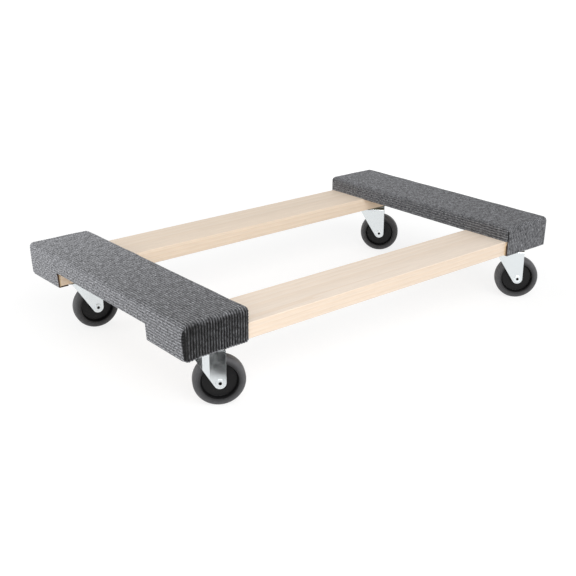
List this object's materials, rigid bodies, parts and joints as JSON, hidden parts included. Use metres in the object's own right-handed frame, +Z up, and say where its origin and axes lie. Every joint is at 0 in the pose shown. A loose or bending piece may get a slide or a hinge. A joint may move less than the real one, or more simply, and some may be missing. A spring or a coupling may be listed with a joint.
{
  "type": "furniture dolly",
  "caption": "Flat wooden dolly: two rails under carpet-wrapped cross boards, on swivel casters, to roll furniture and other heavy loads.",
  "frame": {"origin": "on the floor under the middle of the deck", "axes": "+X along the rails to the front, +Y to the left, +Z up"},
  "size_m": [0.775, 0.454, 0.1519],
  "materials": {
    "rail_wood": "planed, bare",
    "board_wood": "sawn, bare",
    "ribbed_carpet": "needle-punched, ribbed",
    "zinc_plated_steel": "zinc plated",
    "screw_steel": "zinc plated",
    "bearing_steel": "polished",
    "wheel_polymer": "moulded, satin"
  },
  "bodies": {
    "deck": {"left_rail": "rail_wood", "right_rail": "rail_wood", "front_cross_board": "board_wood", "front_carpet": "ribbed_carpet", "front_deck_screws": "screw_steel", "front_carpet_staples": "screw_steel", "rear_cross_board": "board_wood", "rear_carpet": "ribbed_carpet", "rear_deck_screws": "screw_steel", "rear_carpet_staples": "screw_steel", "front_left_plate": "zinc_plated_steel", "front_left_plate_screws": "screw_steel", "front_left_kingpin": "screw_steel", "front_left_lower_race": "zinc_plated_steel", "front_right_plate": "zinc_plated_steel", "front_right_plate_screws": "screw_steel", "front_right_kingpin": "screw_steel", "front_right_lower_race": "zinc_plated_steel", "rear_left_plate": "zinc_plated_steel", "rear_left_plate_screws": "screw_steel", "rear_left_kingpin": "screw_steel", "rear_left_lower_race": "zinc_plated_steel", "rear_right_plate": "zinc_plated_steel", "rear_right_plate_screws": "screw_steel", "rear_right_kingpin": "screw_steel", "rear_right_lower_race": "zinc_plated_steel"},
    "front_left_swivel": {"front_left_fork": "zinc_plated_steel", "front_left_axle": "zinc_plated_steel"},
    "front_left_roller": {"front_left_wheel": "wheel_polymer", "front_left_bush": "bearing_steel"},
    "front_left_ball_set": {"front_left_upper_balls": "bearing_steel", "front_left_lower_balls": "bearing_steel"},
    "front_right_swivel": {"front_right_fork": "zinc_plated_steel", "front_right_axle": "zinc_plated_steel"},
    "front_right_roller": {"front_right_wheel": "wheel_polymer", "front_right_bush": "bearing_steel"},
    "front_right_ball_set": {"front_right_upper_balls": "bearing_steel", "front_right_lower_balls": "bearing_steel"},
    "rear_left_swivel": {"rear_left_fork": "zinc_plated_steel", "rear_left_axle": "zinc_plated_steel"},
    "rear_left_roller": {"rear_left_wheel": "wheel_polymer", "rear_left_bush": "bearing_steel"},
    "rear_left_ball_set": {"rear_left_upper_balls": "bearing_steel", "rear_left_lower_balls": "bearing_steel"},
    "rear_right_swivel": {"rear_right_fork": "zinc_plated_steel", "rear_right_axle": "zinc_plated_steel"},
    "rear_right_roller": {"rear_right_wheel": "wheel_polymer", "rear_right_bush": "bearing_steel"},
    "rear_right_ball_set": {"rear_right_upper_balls": "bearing_steel", "rear_right_lower_balls": "bearing_steel"}
  },
  "joints": [
    {"name": "front_left_swivel_turn", "type": "hinge", "parent": "deck", "child": "front_left_swivel", "pos_m": [0.331, 0.1755, 0.10085], "axis": [0, 0, 1], "continuous": true},
    {"name": "front_left_wheel_spin", "type": "hinge", "parent": "front_left_swivel", "child": "front_left_roller", "pos_m": [0.35017, 0.15509, 0.0381], "axis": [0.729, 0.6845, 0], "continuous": true},
    {"name": "front_left_ball_orbit", "type": "hinge", "parent": "deck", "child": "front_left_ball_set", "pos_m": [0.331, 0.1755, 0.10085], "axis": [0, 0, 1], "continuous": true},
    {"name": "front_right_swivel_turn", "type": "hinge", "parent": "deck", "child": "front_right_swivel", "pos_m": [0.331, -0.1755, 0.10085], "axis": [0, 0, 1], "continuous": true},
    {"name": "front_right_wheel_spin", "type": "hinge", "parent": "front_right_swivel", "child": "front_right_roller", "pos_m": [0.35181, -0.19424, 0.0381], "axis": [0.6691, 0.7431, 0], "continuous": true},
    {"name": "front_right_ball_orbit", "type": "hinge", "parent": "deck", "child": "front_right_ball_set", "pos_m": [0.331, -0.1755, 0.10085], "axis": [0, 0, 1], "continuous": true},
    {"name": "rear_left_swivel_turn", "type": "hinge", "parent": "deck", "child": "rear_left_swivel", "pos_m": [-0.331, 0.1755, 0.10085], "axis": [0, 0, 1], "continuous": true},
    {"name": "rear_left_wheel_spin", "type": "hinge", "parent": "rear_left_swivel", "child": "rear_left_roller", "pos_m": [-0.30363, 0.16958, 0.0381], "axis": [0.2113, 0.9774, 0], "continuous": true},
    {"name": "rear_left_ball_orbit", "type": "hinge", "parent": "deck", "child": "rear_left_ball_set", "pos_m": [-0.331, 0.1755, 0.10085], "axis": [0, 0, 1], "continuous": true},
    {"name": "rear_right_swivel_turn", "type": "hinge", "parent": "deck", "child": "rear_right_swivel", "pos_m": [-0.331, -0.1755, 0.10085], "axis": [0, 0, 1], "continuous": true},
    {"name": "rear_right_wheel_spin", "type": "hinge", "parent": "rear_right_swivel", "child": "rear_right_roller", "pos_m": [-0.3067, -0.18942, 0.0381], "axis": [0.497, 0.8678, 0], "continuous": true},
    {"name": "rear_right_ball_orbit", "type": "hinge", "parent": "deck", "child": "rear_right_ball_set", "pos_m": [-0.331, -0.1755, 0.10085], "axis": [0, 0, 1], "continuous": true}
  ],
  "couplings": [
    {"joint": "front_left_ball_orbit", "follows": "front_left_swivel_turn", "ratio": 0.5},
    {"joint": "front_right_ball_orbit", "follows": "front_right_swivel_turn", "ratio": 0.5},
    {"joint": "rear_left_ball_orbit", "follows": "rear_left_swivel_turn", "ratio": 0.5},
    {"joint": "rear_right_ball_orbit", "follows": "rear_right_swivel_turn", "ratio": 0.5}
  ]
}
